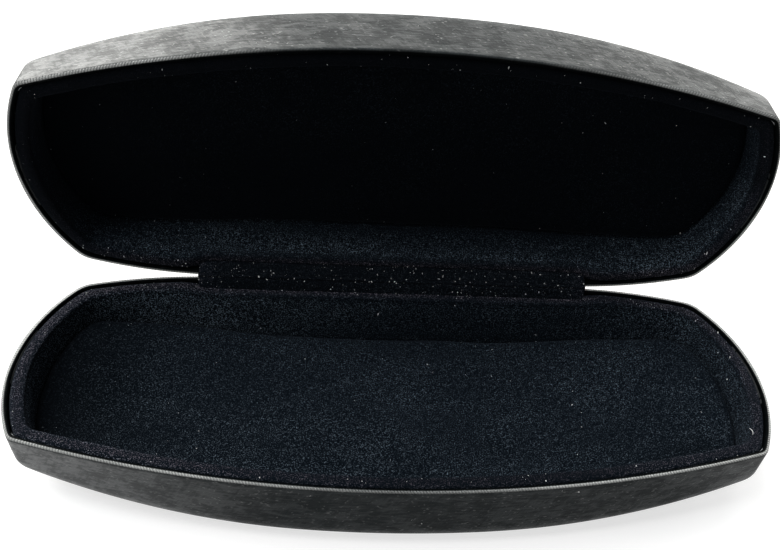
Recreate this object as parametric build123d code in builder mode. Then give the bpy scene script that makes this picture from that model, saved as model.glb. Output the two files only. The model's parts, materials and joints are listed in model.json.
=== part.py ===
from build123d import *
from math import atan2, cos, degrees, hypot, radians, sin, tan
import os

# A hard clamshell glasses case, standing open on its flat foot.
# +X runs along the hinge, +Y to the hinge side and +Z up. The origin is the middle of the foot.

# Sizes of the closed case
case_length = 161.0
case_depth = 62.0
shell_height = 19.0
opening_angle = 85.5
mating_gap = 0.3

# Rim outline, measured from the hinge line
hinge_y = case_depth / 2
hinge_half = 45.4
rear_straight_half = 41.5
front_corner_x = 76.2
front_corner_in = 50.4
widest_in = 33.0
rear_corner_x = 70.9
rear_corner_in = 4.4

# Dome of each shell
wall_draft = 4.0
edge_radius = 6.5
foot_half = 20.0
end_rise = 7.1
end_turn = 24.0

# Layers: each face is set in by this much from the outside of the case
cover_thickness = 0.5
shell_thickness = 0.45
hem_thickness = 0.4
hem_depth = 5.0
rim_round = 0.42
shell_outside = cover_thickness
shell_inside = shell_outside + shell_thickness
hem_inside = shell_inside + hem_thickness
lining_outside = hem_inside + 0.15
lining_inside = 4.2
lining_drop = 1.2
lip_round = 1.1
pad_outside = lining_inside + 0.1
pad_underside = shell_inside + 0.05
pad_top = 5.3
pad_roll = 1.9

# Hinge: two leaves with rolled knuckles on two short pins, one pin near each end
pin_radius = 0.55
pin_head_radius = 0.95
pin_head_length = 0.4
knuckle_radius = 1.1
running_gap = 0.05
knuckle_start = 20.2
knuckle_pitch = 5.7
knuckle_gap = 0.3
knuckle_pairs = 2
knuckle_length = knuckle_pitch - knuckle_gap
leaf_thickness = 0.6
seat_gap = 0.02
leaf_back = shell_inside + seat_gap
leaf_front = leaf_back + leaf_thickness
leaf_top = 1.9
leaf_bottom = 10.6
leaf_half = knuckle_start + 2 * knuckle_pairs * knuckle_pitch - knuckle_gap
window_half = 17.8
window_bottom = 7.0
wall_slot = 1.8
spring_slot = 3.2
spring_slot_half = 22.0

# Open stop: a dog on each inner base knuckle turns in a notch of the lid knuckle beside it
dog_length = 1.2
dog_half_angle = 25.0
dog_clearance = 0.6
dog_spare = 5.0

# Spring: an arched steel strip hooked over a rod on each leaf, stretched most at half travel
rod_radius = 0.4
rod_in = 2.5
rod_drop = 6.0
rod_half = 19.0
ear_radius = 0.8
ear_thickness = 0.6
strip_half = 16.5
strip_thickness = 0.3
strip_bow = 2.4
hook_gap = 0.04
hook_wrap = 215.0

# Rivets that hold each leaf to its shell
rivet_radius = 0.9
rivet_head_radius = 1.4
rivet_head_height = 0.5
head_taper = 30.0
rivet_drop = 8.8
rivet_places = [-38.0, -13.0, 13.0, 38.0]
head_seat = leaf_front + seat_gap

# Soft strips across the hinge, and the room that the linings leave for the hinge
spine_inner_radius = 1.45
spine_thickness = 0.5
spine_lap = 12.0
cloth_radius = 1.5
cloth_thickness = 0.6
cloth_lean = 20.0
cloth_tail = 3.42
strip_end = 45.1
pocket_inset = 3.0
pocket_bottom = 11.4
pocket_half = hinge_half + 0.3

draft_slope = tan(radians(wall_draft))
rim_plane = Plane.XY.offset(shell_height)
rim_top = shell_height - mating_gap / 2
hinge_axis = Axis((0, hinge_y, shell_height), (1, 0, 0))
end_run = case_length / 2 - foot_half
end_radius = (end_run**2 + end_rise**2) / (2 * end_rise)
inward = 180 - opening_angle / 2
beyond = 100.0
overrun = 1.0
wall_reach = 5.0


def rim_outline():
    """The closed outline of the rim: bowed front, rounded ends, and a rear that is straight at the hinge."""
    front_y = hinge_y - front_corner_in
    rear_y = hinge_y - rear_corner_in
    front_right = (front_corner_x, front_y)
    front_left = (-front_corner_x, front_y)
    rear_right = (rear_corner_x, rear_y)
    rear_left = (-rear_corner_x, rear_y)
    widest_y = hinge_y - widest_in
    ThreePointArc(front_left, (0, hinge_y - case_depth), front_right)
    ThreePointArc(front_right, (case_length / 2, widest_y), rear_right)
    TangentArc((rear_straight_half, hinge_y), rear_right, tangent=(1, 0))
    Line((rear_straight_half, hinge_y), (-rear_straight_half, hinge_y))
    TangentArc((-rear_straight_half, hinge_y), rear_left, tangent=(-1, 0))
    ThreePointArc(rear_left, (-case_length / 2, widest_y), front_left)


def bottom_profile(inset, height):
    """The side view of the bottom: flat at the foot, curving up to both ends, closed off at this height."""
    radius = end_radius - inset
    Line((-foot_half, inset), (foot_half, inset))
    right = JernArc((foot_half, inset), (1, 0), radius, end_turn)
    left = JernArc((-foot_half, inset), (-1, 0), radius, -end_turn)
    right_end = ((right @ 1).X, height)
    left_end = ((left @ 1).X, height)
    Polyline(right @ 1, right_end, left_end, left @ 1)


def stands(edge):
    """True for an edge that runs down a wall."""
    return abs(edge.tangent_at(0.5).Z) > 0.9


def is_corner(edge):
    """True for an edge that runs down the wall at a corner of the rim."""
    return stands(edge) and abs(edge.center().X) > hinge_half + wall_reach


def goes_round(edge):
    """True for an edge along the outline, and false for the seams that run straight across."""
    across = edge.geom_type == GeomType.LINE and abs(edge.tangent_at(0.5).Y) > 0.99
    return not across and not stands(edge)


def wall_block(inset):
    """The rim's outline drawn in by this much and carried down with the walls' draft."""
    with BuildPart() as block:
        with BuildSketch(rim_plane):
            with BuildLine():
                rim_outline()
            make_face()
            if inset:
                offset(amount=-inset, kind=Kind.INTERSECTION)
        extrude(amount=-(shell_height + overrun), taper=wall_draft)
    return block.part


def dome(inset):
    """The space inside the outer surface of a shell, drawn in by this much."""
    with BuildPart() as block:
        add(wall_block(inset))
        with BuildSketch(Plane.XZ):
            with BuildLine():
                bottom_profile(inset, beyond)
            make_face()
        extrude(amount=beyond, both=True, mode=Mode.INTERSECT)
        below_rim = block.edges().filter_by(lambda edge: edge.center().Z < shell_height - overrun)
        fillet(below_rim.filter_by(goes_round) + block.edges().filter_by(is_corner), edge_radius - inset)
    return block.part


def inner_block(inset):
    """The space inside the lining's upright faces, with rounded corners."""
    with BuildPart() as block:
        add(wall_block(inset))
        fillet(block.edges().filter_by(is_corner), edge_radius - inset)
    return block.part


def slab(low, high):
    """Everything between two heights."""
    with BuildPart() as block:
        with BuildSketch(Plane.XY.offset(low)):
            Rectangle(2 * beyond, 2 * beyond)
        extrude(amount=high - low)
    return block.part


def rear_slot(half_length, depth):
    """The piece cut from the top of a rear wall to make room for the hinge."""
    with BuildPart() as block:
        with BuildSketch(Plane.XY.offset(shell_height - depth)):
            with Locations((0, hinge_y)):
                Rectangle(2 * half_length, 2 * wall_reach)
        extrude(amount=depth + overrun)
    return block.part


def section(x):
    """The plane across the hinge at this place along it, with its origin on the hinge axis."""
    return Plane(origin=(x, hinge_y, shell_height), x_dir=(0, 1, 0), z_dir=(1, 0, 0))


def wall_point(inset, drop):
    """The point of the base's rear wall this far in and this far below the rim, from the hinge axis."""
    return (-inset - drop * draft_slope, -drop)


def on_lid(point):
    """The point of the open lid that matches this point of the base, both from the hinge axis."""
    turn = radians(opening_angle)
    y, z = point
    return (y * cos(turn) - z * sin(turn), -y * sin(turn) - z * cos(turn))


def polar(centre, radius, angle):
    """The point at this distance and angle from a centre."""
    return (centre[0] + radius * cos(radians(angle)), centre[1] + radius * sin(radians(angle)))


def ring_slice(centre, inner, outer, start, turn):
    """The outline of a slice of a ring, from one angle and through this turn."""
    low = CenterArc(centre, inner, start, turn)
    high = CenterArc(centre, outer, start, turn)
    Line(low @ 0, high @ 0)
    Line(low @ 1, high @ 1)


def opened(piece):
    """A piece of the base, mirrored in the rim's plane and swung open about the hinge."""
    closed = mirror(piece, about=rim_plane, mode=Mode.PRIVATE)
    return closed.rotate(hinge_axis, -opening_angle)


def rivet_planes(inset):
    """Planes on the rear wall at each rivet, this far in from the outside and facing into the case."""
    into = (0, -cos(radians(wall_draft)), sin(radians(wall_draft)))
    deep = inset * cos(radians(wall_draft))
    y = hinge_y + wall_point(0, rivet_drop)[0] + deep * into[1]
    z = shell_height - rivet_drop + deep * into[2]
    return [Plane(origin=(x, y, z), x_dir=(1, 0, 0), z_dir=into) for x in rivet_places]


def knuckle_starts(first):
    """Where the knuckles of one leaf start along the hinge, on both halves."""
    starts = []
    for pair in range(knuckle_pairs):
        near = knuckle_start + (2 * pair + first) * knuckle_pitch
        starts += [near, -near - knuckle_length]
    return starts


def leaf(first):
    """A hinge leaf in the base's place: a plate on the rear wall, knuckles, a window and two ears."""
    rod_place = Locations((-rod_in, -rod_drop))
    plate_y = wall_point(leaf_front, rod_drop)[0] + leaf_thickness / 2
    with BuildPart() as block:
        with BuildSketch(section(-leaf_half)):
            Polygon(wall_point(leaf_back, leaf_top), wall_point(leaf_front, leaf_top),
                    wall_point(leaf_front, leaf_bottom), wall_point(leaf_back, leaf_bottom), align=None)
        extrude(amount=2 * leaf_half)
        for start in knuckle_starts(first):
            with BuildSketch(section(start)):
                Circle(knuckle_radius)
                Polygon((-knuckle_radius, 0), wall_point(leaf_front, leaf_top),
                        wall_point(leaf_back, leaf_top), (leaf_thickness - knuckle_radius, 0), align=None)
            extrude(amount=knuckle_length)
        add(rear_slot(window_half, window_bottom), mode=Mode.SUBTRACT)
        for start in (window_half, -window_half - ear_thickness):
            with BuildSketch(section(start)):
                with rod_place:
                    Circle(ear_radius)
                with Locations(((plate_y - rod_in) / 2, -rod_drop)):
                    Rectangle(rod_in + plate_y, 2 * ear_radius)
            extrude(amount=ear_thickness)
        with BuildSketch(section(-beyond)):
            Circle(pin_radius + running_gap)
            with rod_place:
                Circle(rod_radius + running_gap)
        extrude(amount=2 * beyond, mode=Mode.SUBTRACT)
        with BuildSketch(*rivet_planes(leaf_front)):
            Circle(rivet_radius + running_gap)
        extrude(amount=2 * leaf_thickness, both=True, mode=Mode.SUBTRACT)
    return block.part


os.makedirs("parts", exist_ok=True)

# The space filled by each layer of the base
steel_inside = dome(shell_inside)
hem_space = dome(hem_inside)
shell_top = rim_top - cover_thickness
with BuildPart() as steel_block:
    add(dome(shell_outside))
    add(slab(shell_top, beyond), mode=Mode.SUBTRACT)

# Cover: a thin skin, rolled over the rim and turned in
with BuildPart() as turned_in:
    add(steel_inside)
    add(hem_space, mode=Mode.SUBTRACT)
    add(slab(rim_top - hem_depth, shell_top), mode=Mode.INTERSECT)
    add(rear_slot(hinge_half, hem_depth + overrun), mode=Mode.SUBTRACT)
with BuildPart() as base_cover:
    add(dome(0))
    add(slab(rim_top, beyond), mode=Mode.SUBTRACT)
    fillet(base_cover.faces().sort_by(Axis.Z)[-1].edges(), rim_round)
    add(hem_space, mode=Mode.SUBTRACT)
    rim_face = base_cover.faces().filter_by(Axis.Z).sort_by(Axis.Z)[-1]
    fillet(rim_face.inner_wires()[0].edges(), rim_round)
    add(steel_block.part, mode=Mode.SUBTRACT)
    add(turned_in.part)
    add(rear_slot(hinge_half, wall_slot), mode=Mode.SUBTRACT)
with BuildPart() as lid_cover:
    add(opened(base_cover.part))

# Steel shell inside the cover, cut away behind the hinge and its spring
with BuildPart() as base_shell:
    add(steel_block.part)
    add(steel_inside, mode=Mode.SUBTRACT)
    add(rear_slot(hinge_half, wall_slot), mode=Mode.SUBTRACT)
    add(rear_slot(spring_slot_half, spring_slot), mode=Mode.SUBTRACT)
    with BuildSketch(*rivet_planes(shell_inside)):
        Circle(rivet_radius + running_gap)
    extrude(amount=shell_thickness * 2, both=True, mode=Mode.SUBTRACT)
with BuildPart() as lid_shell:
    add(opened(base_shell.part))

# Wall lining with a rounded lip, thinner where the hinge lies behind it
with BuildPart() as base_wall_lining:
    add(dome(lining_outside))
    add(slab(rim_top - lining_drop, beyond), mode=Mode.SUBTRACT)
    add(inner_block(lining_inside), mode=Mode.SUBTRACT)
    lip = base_wall_lining.faces().sort_by(Axis.Z)[-1]
    fillet(lip.edges(), lip_round)
    with BuildSketch(section(-pocket_half)):
        Polygon((wall_reach, wall_reach), (-pocket_inset, wall_reach), wall_point(pocket_inset, 0),
                wall_point(pocket_inset, pocket_bottom), (wall_reach, -pocket_bottom), align=None)
    extrude(amount=2 * pocket_half, mode=Mode.SUBTRACT)
with BuildPart() as lid_wall_lining:
    add(opened(base_wall_lining.part))

# Floor pad with a rolled edge, inside the wall lining
with BuildPart() as base_floor_pad:
    add(wall_block(pad_outside))
    with BuildSketch(Plane.XZ):
        with BuildLine():
            bottom_profile(pad_underside, beyond)
        make_face()
    extrude(amount=beyond, both=True, mode=Mode.INTERSECT)
    with BuildSketch(Plane.XZ):
        with BuildLine():
            bottom_profile(pad_top, beyond)
        make_face()
    extrude(amount=beyond, both=True, mode=Mode.SUBTRACT)
    fillet(base_floor_pad.edges().filter_by(goes_round) + base_floor_pad.edges().filter_by(is_corner), pad_roll)
with BuildPart() as lid_floor_pad:
    add(opened(base_floor_pad.part))

# Hinge leaves, with the open stop between the inner knuckles
with BuildPart() as hinge_leaf_base:
    add(leaf(0))
    dog_start = knuckle_start + knuckle_length
    for start in (dog_start, -dog_start - dog_length):
        with BuildSketch(section(start)):
            with BuildLine():
                ring_slice((0, 0), pin_radius + running_gap, knuckle_radius, -dog_half_angle, 2 * dog_half_angle)
            make_face()
        extrude(amount=dog_length)
with BuildPart() as hinge_leaf_lid:
    add(opened(leaf(1)))
    notch_length = dog_length + knuckle_gap
    notch_turn = 2 * dog_half_angle + opening_angle + dog_clearance + dog_spare
    for start in (dog_start, -dog_start - notch_length):
        with BuildSketch(section(start)):
            with BuildLine():
                ring_slice((0, 0), pin_radius / 2, 2 * knuckle_radius, dog_half_angle + dog_clearance, -notch_turn)
            make_face()
        extrude(amount=notch_length, mode=Mode.SUBTRACT)

# Short pins, headed at the end nearer the spring
pin_start = knuckle_start - running_gap
pin_end = leaf_half + running_gap
with BuildPart() as hinge_pin_right:
    with BuildSketch(section(pin_start)):
        Circle(pin_radius)
    extrude(amount=pin_end - pin_start)
    with BuildSketch(section(pin_start - pin_head_length)):
        Circle(pin_head_radius)
    extrude(amount=pin_head_length)
    chamfer(hinge_pin_right.edges().sort_by(Axis.X)[-1], pin_radius / 4)
with BuildPart() as hinge_pin_left:
    add(hinge_pin_right.part)
    mirror(about=Plane.YZ, mode=Mode.REPLACE)

# Rivets: flush at the shell's outer face and domed on the leaf
with BuildPart() as base_rivets:
    with BuildSketch(*rivet_planes(shell_outside)):
        Circle(rivet_radius)
    extrude(amount=(head_seat - shell_outside) * cos(radians(wall_draft)))
    with BuildSketch(*rivet_planes(head_seat)):
        Circle(rivet_head_radius)
    extrude(amount=rivet_head_height, taper=head_taper)
with BuildPart() as lid_rivets:
    add(opened(base_rivets.part))

# Spring: rods through the ears and an arched strip hooked over them
with BuildPart() as spring_rod_base:
    with BuildSketch(section(-rod_half)):
        with Locations((-rod_in, -rod_drop)):
            Circle(rod_radius)
    extrude(amount=2 * rod_half)
with BuildPart() as spring_rod_lid:
    add(opened(spring_rod_base.part))

base_rod = (-rod_in, -rod_drop)
lid_rod = on_lid(base_rod)
rod_middle = ((base_rod[0] + lid_rod[0]) / 2, (base_rod[1] + lid_rod[1]) / 2)
half_span = hypot(lid_rod[0] - base_rod[0], lid_rod[1] - base_rod[1]) / 2
hook_inner = rod_radius + hook_gap
hook_middle = hook_inner + strip_thickness / 2
arch_radius = (half_span**2 - hook_middle**2 + strip_bow**2) / (2 * (strip_bow - hook_middle))
arch_centre = polar(rod_middle, arch_radius - strip_bow, inward + 180)
arch_start = degrees(atan2(base_rod[1] - arch_centre[1], base_rod[0] - arch_centre[0])) % 360
arch_turn = 2 * (inward - arch_start)
with BuildPart() as spring_strip:
    with BuildSketch(section(-strip_half)):
        with BuildLine():
            arch_inner = arch_radius - strip_thickness / 2
            ring_slice(arch_centre, arch_inner, arch_inner + strip_thickness, arch_start, arch_turn)
        make_face()
        with BuildLine():
            ring_slice(base_rod, hook_inner, hook_inner + strip_thickness, arch_start, hook_wrap)
        make_face()
        with BuildLine():
            ring_slice(lid_rod, hook_inner, hook_inner + strip_thickness, arch_start + arch_turn, -hook_wrap)
        make_face()
    extrude(amount=2 * strip_half)

# Leather over the outside of the hinge, seated on the edges of the two covers
with BuildPart() as outer_spine:
    with BuildSketch(section(-strip_end)):
        with BuildLine():
            spine_turn = 180 - opening_angle + 2 * spine_lap
            outer = spine_inner_radius + spine_thickness
            ring_slice((0, 0), spine_inner_radius, outer, -90 - spine_lap, spine_turn)
        make_face()
    extrude(amount=2 * strip_end)
    under_slot = slab(-overrun, shell_height - wall_slot)
    add(under_slot, mode=Mode.SUBTRACT)
    add(opened(under_slot), mode=Mode.SUBTRACT)

# Cloth over the inside of the hinge, its edges tucked behind the lips of the linings
with BuildPart() as inner_hinge_strip:
    with BuildSketch(section(-strip_end)):
        with BuildLine():
            cloth_turn = 2 * (inward - 180 + cloth_lean)
            ring_slice((0, 0), cloth_radius, cloth_radius + cloth_thickness, 180 - cloth_lean, cloth_turn)
        make_face()
        for angle, side in ((180 - cloth_lean, 1), (2 * inward - 180 + cloth_lean, -1)):
            near = polar((0, 0), cloth_radius, angle)
            far = polar((0, 0), cloth_radius + cloth_thickness, angle)
            near_end = polar(near, cloth_tail, angle + 90 * side)
            far_end = polar(far, cloth_tail, angle + 90 * side)
            Polygon(near, far, far_end, near_end, align=None)
    extrude(amount=2 * strip_end)

pieces = {
    "base_cover": base_cover, "lid_cover": lid_cover,
    "base_shell": base_shell, "lid_shell": lid_shell,
    "base_wall_lining": base_wall_lining, "lid_wall_lining": lid_wall_lining,
    "base_floor_pad": base_floor_pad, "lid_floor_pad": lid_floor_pad,
    "hinge_leaf_base": hinge_leaf_base, "hinge_leaf_lid": hinge_leaf_lid,
    "hinge_pin_left": hinge_pin_left, "hinge_pin_right": hinge_pin_right,
    "base_rivets": base_rivets, "lid_rivets": lid_rivets,
    "spring_rod_base": spring_rod_base, "spring_rod_lid": spring_rod_lid,
    "spring_strip": spring_strip, "outer_spine": outer_spine,
    "inner_hinge_strip": inner_hinge_strip,
}
for name, piece in pieces.items():
    piece.part.label = name
    export_step(piece.part, f"parts/{name}.step")
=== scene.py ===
"""A hard clamshell glasses case, standing open, with skins, flocked linings and pads, spring and lint."""

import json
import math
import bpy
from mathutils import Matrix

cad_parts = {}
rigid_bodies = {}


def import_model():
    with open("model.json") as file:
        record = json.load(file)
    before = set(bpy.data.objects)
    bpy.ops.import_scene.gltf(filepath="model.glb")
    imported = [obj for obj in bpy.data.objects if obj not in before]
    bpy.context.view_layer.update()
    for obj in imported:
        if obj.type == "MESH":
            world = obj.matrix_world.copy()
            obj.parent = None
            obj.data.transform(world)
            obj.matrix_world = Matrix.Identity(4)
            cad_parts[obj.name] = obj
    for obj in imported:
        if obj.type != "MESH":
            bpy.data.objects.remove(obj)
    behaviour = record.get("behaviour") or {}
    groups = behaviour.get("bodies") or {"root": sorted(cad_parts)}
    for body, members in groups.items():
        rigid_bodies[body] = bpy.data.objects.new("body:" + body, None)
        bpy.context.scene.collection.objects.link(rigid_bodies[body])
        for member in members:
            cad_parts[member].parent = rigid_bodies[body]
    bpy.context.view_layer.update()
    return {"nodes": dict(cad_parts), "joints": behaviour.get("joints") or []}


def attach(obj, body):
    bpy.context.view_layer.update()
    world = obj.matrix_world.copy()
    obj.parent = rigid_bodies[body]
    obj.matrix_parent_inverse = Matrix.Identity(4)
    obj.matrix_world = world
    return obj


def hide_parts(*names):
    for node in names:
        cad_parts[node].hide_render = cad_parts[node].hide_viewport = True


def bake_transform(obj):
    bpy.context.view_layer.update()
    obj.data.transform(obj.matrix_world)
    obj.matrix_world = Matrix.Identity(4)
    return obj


bl_info = {
    "name": "Open glasses case",
    "version": (1, 0, 0),
    "blender": (4, 5, 0),
    "location": "3D View > Sidebar > Glasses case",
    "description": "Builds the skins, linings, pads and hinge cloths of an open glasses case on its frame",
    "category": "Object",
}

import bpy
import bmesh
import numpy as np
from mathutils import Matrix, Vector
from mathutils.geometry import delaunay_2d_cdt

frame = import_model()

# Sizes are in millimetres in the closed case, from the hinge line at the height of the rim:
# x along the hinge, y towards the rear (so inside is negative) and z up (so the base is negative).
MM = 0.001
HINGE = np.array(frame["joints"][0]["pos_m"])
OPEN = math.radians(frame["joints"][0]["range_deg"][1])

# Rim and dome, as in the frame
FRONT_CORNER = (76.2, -50.4)
REAR_CORNER = (70.9, -4.4)
WIDEST = (80.7, -33.0)
CASE_DEPTH = 62.0
HINGE_HALF = 44.9
REAR_STRAIGHT = 41.5
STRIP_HALF = 45.2
SHELL_HEIGHT = 19.0
DRAFT = math.tan(math.radians(4.0))
DRAFT_DEGREES = math.degrees(math.atan(DRAFT))
DRAFT_COSINE = math.cos(math.atan(DRAFT))
EDGE_RADIUS = 6.5
FOOT_HALF = 20.0
ROCKER_RADIUS = 260.0
RIM_GAP = 0.04
CORNER_EASE = (0.8, 1.0, 0.08)
SLOT_DROP = 1.8

# The skin's rim: its two rounded corners, the insets of its flat top and the heights of its hem's rows
RIM_CORNER = 0.4
RIM_FLAT = (0.47, 0.54, 0.61, 0.68)
HEM_ROWS = (-0.9, -1.6, -2.6, -3.8)

# The rim's wear and painted highlight, as insets: where they end, where the painted shade on its inner side
# begins, and how much wider they are at the rear
WEAR_AND_HIGHLIGHT_TO = 0.6
PAINTED_SHADE_FROM = 0.15
WIDER_AT_REAR = 0.25

# Layers, as insets from the outside of the case, and drops and heights from the rim
HEM_INSIDE = 1.15
HEM_DROP = 5.1
SHELL_SPACE = (0.49, 0.96)
SHELL_DROP = 0.5
LINING = (1.35, 4.2)
LINING_DROP = 0.25
LIP_HEIGHT = 1.05

# The lining over the hinge: how far its lip dips in the base and the lid, its step inwards and thinned back
HINGE_DIP = {False: 0.9, True: 1.7}
HINGE_STEP = 0.4
POCKET = 3.02
POCKET_DROP = 11.4

# The pads: their inset, the heights of their underside and top over the bottom, and their edge's radius
PAD_INSET = 4.35
PAD_UNDER = 1.0
PAD_TOP = 5.3
PAD_ROLL = 2.05

# Where the pads rise towards the rear: half the width of the rise, and where along y it begins and ends
RISE_HALF = 66.0
RISE_FRONT = -34.0
RISE_REAR = -9.0

# Where the hinge cloth comes out from behind the base's lining, as (y, z)
TUCK = (-2.86, -2.6)

# The spring: the rod it hooks over in the base, as (y, z), and its hooks, bow, half length and thickness
ROD = (-2.5, -6.0)
HOOK_RADIUS = 0.59
HOOK_WRAP = 215.0
SPRING_BOW = 2.4
SPRING_HALF = 16.5
SPRING_THICKNESS = 0.3

# The cloth inside the hinge and the spine outside it: their thickness and distance from the hinge line
CLOTH_THICKNESS = 0.5
CLOTH_OUT = 1.8
CLOTH_OVER_KNUCKLES = 1.5
CLOTH_FOLD = 0.5
SPINE_OUT = 1.7

# Strips along the hinge: how many sections they have, and how far from their ends their values change
STRIP_SECTIONS = 173
STRIP_END = 7.0

# The loose fibre on the lip at the base's right end: its start, run, bow and radius
FIBRE_START = (74.3, -43.4, -0.25)
FIBRE_RUN = (0.2, -1.7)
FIBRE_BOW = 0.3
FIBRE_RADIUS = 0.065

# Ribs that stretching leaves in the leather over the rim: their pitch, and how far they lean
RIB_PITCH = 0.62
RIB_SLANT = 4.5

# Spokes run from the middle line of the case out to the rim
MIDDLE_HALF = 52.0
MIDDLE_Y = -29.0
FAN_SPOKES = 221
RUN_SPOKES = 105
LONGEST_SPOKE = 50.0
HALVINGS = 40

# Rows of points round each bend and down each wall
ROWS = {"outer round": 15, "outer wall": 14, "rim corner": 6, "inner wall": 7, "inner round": 11,
        "lip": 19, "lining back": 9, "lining foot": 7, "lining face": 17, "under roll": 7, "top roll": 11}

# Nets that close a row: their spacing, their margin inside the row, and how far from the edge the row lies
NET_OUTSIDE = 2.2
NET_PAD = 1.6
NET_HIDDEN = 3.0
NET_MARGIN = 1.0
NET_LEVEL = 6.0
NET_BEYOND = 2.5

# Points of a finished mesh that lie closer than this are merged
MERGE = 0.002

# The camera: its place from the hinge, its azimuth, elevation and roll in degrees, its lens and its shift
CAMERA_PLACE = (-10.81, -179.4, 153.58)
CAMERA_TURN = (-6.0, 43.86, 5.74)
CAMERA_LENS = 46.15
CAMERA_SHIFT = (-0.0411, 0.0867)

# Lamps, in metres: name, place, point they are turned to, width and height, power and colour
WHITE = (1, 1, 1)
WARM_WHITE = (1, 0.99, 0.95)
BEHIND = (0, 0.03, 0.06)
LAMPS = (
    ("rear_left", (-0.6, 1.0, 0.42), BEHIND, (0.8, 0.5), 12.5, WARM_WHITE),
    ("rear_right", (0.7, 0.98, 0.36), BEHIND, (0.8, 0.5), 8.5, WARM_WHITE),
    ("rear_middle", (0.0, 1.1, 0.6), BEHIND, (0.7, 0.4), 7.5, WARM_WHITE),
    ("rim_left", (-0.35, 0.62, 0.9), (0, 0, 0), (0.35, 0.35), 2.5, WHITE),
    ("rim_right", (0.42, 0.6, 0.9), (0, 0, 0), (0.35, 0.35), 2.5, WHITE),
    ("overhead", (-0.5, -0.05, 1.15), (0, 0, 0), (0.8, 0.8), 16, WHITE),
    ("front_left", (-0.75, -0.55, 0.3), (-0.06, -0.03, 0.01), (0.35, 0.35), 1.5, WHITE),
)

# Half the floor's width in metres, its colour and its glow near and far, and the world's light
FLOOR_HALF = 4.0
FLOOR_COLOUR = (0.45, 0.45, 0.45, 1)
FLOOR_GLOW = (0.68, 1.0)
WORLD_LIGHT = 0.1

# Steel, bright on the hinge's parts and duller on the shells
BRIGHT_STEEL = (0.55, 0.55, 0.56, 1)
STAMPED_STEEL = (0.25, 0.26, 0.27, 1)


def colour_property(name, description, default):
    """A colour in the sidebar."""
    return bpy.props.FloatVectorProperty(name=name, description=description, subtype="COLOR", size=4,
                                         default=(*default, 1), min=0, max=1)


def length_property(name, description, default, low):
    """A length in the sidebar, up to 2 mm."""
    return bpy.props.FloatProperty(name=name, description=description, default=default, min=low, max=0.002,
                                   subtype="DISTANCE", unit="LENGTH", precision=5)


class CaseSizes(bpy.types.PropertyGroup):
    """Sizes and colours that a user would change."""

    leather: colour_property("Leather", "Colour of the leather skin", (0.0055, 0.0078, 0.0085))
    # The rim's colour serves for wear and for a painted highlight
    rim_wear_and_highlight: colour_property(
        "Worn edge", "Colour of the leather where it is stretched over the rim", (0.38, 0.39, 0.38))
    flock: colour_property("Flock", "Colour of the flocked lining", (0.0024, 0.0042, 0.0068))
    flock_tip: colour_property(
        "Flock tips", "Colour of the fibre tips that catch the light", (0.145, 0.187, 0.23))
    lip_tip: colour_property(
        "Lip tips", "Colour of the fibre tips along the linings' lips", (0.15, 0.135, 0.165))
    lint: colour_property("Lint", "Colour of the lint", (0.75, 0.75, 0.76))
    lint_size: length_property("Lint size", "Radius of the largest fleck of lint", 0.0002, 0.00002)
    lint_density: bpy.props.FloatProperty(
        name="Lint density", description="Flecks of lint on a square metre where they gather most",
        default=130000.0, min=0.0, max=1000000.0)
    unevenness: length_property("Unevenness", "Height of the waves in the pads and linings", 0.00022, 0.0)


def sizes():
    """The property group of this scene."""
    return bpy.context.scene.case_sizes


def circle_through(p, q, r):
    """Centre and radius of the circle through three points."""
    (ax, ay), (bx, by), (cx, cy) = p, q, r
    d = 2 * (ax * (by - cy) + bx * (cy - ay) + cx * (ay - by))
    sa, sb, sc = ax * ax + ay * ay, bx * bx + by * by, cx * cx + cy * cy
    x = (sa * (by - cy) + sb * (cy - ay) + sc * (ay - by)) / d
    y = (sa * (cx - bx) + sb * (ax - cx) + sc * (bx - ax)) / d
    return x, y, math.hypot(ax - x, ay - y)


FRONT_ARC = circle_through((-FRONT_CORNER[0], FRONT_CORNER[1]), (0, -CASE_DEPTH), FRONT_CORNER)
END_ARC = circle_through(FRONT_CORNER, WIDEST, REAR_CORNER)
REAR_RUN = REAR_CORNER[0] - REAR_STRAIGHT
REAR_RADIUS = (REAR_RUN ** 2 + REAR_CORNER[1] ** 2) / (-2 * REAR_CORNER[1])


def unit(value):
    """A value kept between 0 and 1."""
    return np.clip(value, 0, 1)


def bell(distance, reach):
    """1 at no distance, falling smoothly to nothing beyond the reach."""
    return np.exp(-(distance / reach) ** 2)


def smooth_min(a, b, spread):
    """The lesser of two distances, eased where they are nearly equal."""
    near = np.clip(spread - np.abs(a - b), 0, None)
    return np.minimum(a, b) - near ** 2 / (4 * spread)


def inset_at(x, y, level):
    """How far inside the rim's outline a point lies. The corners are eased more at deeper levels."""
    side = np.abs(x)
    front = FRONT_ARC[2] - np.hypot(x - FRONT_ARC[0], y - FRONT_ARC[1])
    end = END_ARC[2] - np.hypot(np.maximum(side - END_ARC[0], 0), y - END_ARC[1])
    rear = REAR_RADIUS - np.hypot(np.maximum(side - REAR_STRAIGHT, 0), y + REAR_RADIUS)
    ease = CORNER_EASE[2] * np.clip(level, 0, EDGE_RADIUS)
    return smooth_min(smooth_min(front, end, CORNER_EASE[0] + ease), rear, CORNER_EASE[1] + ease)


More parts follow.
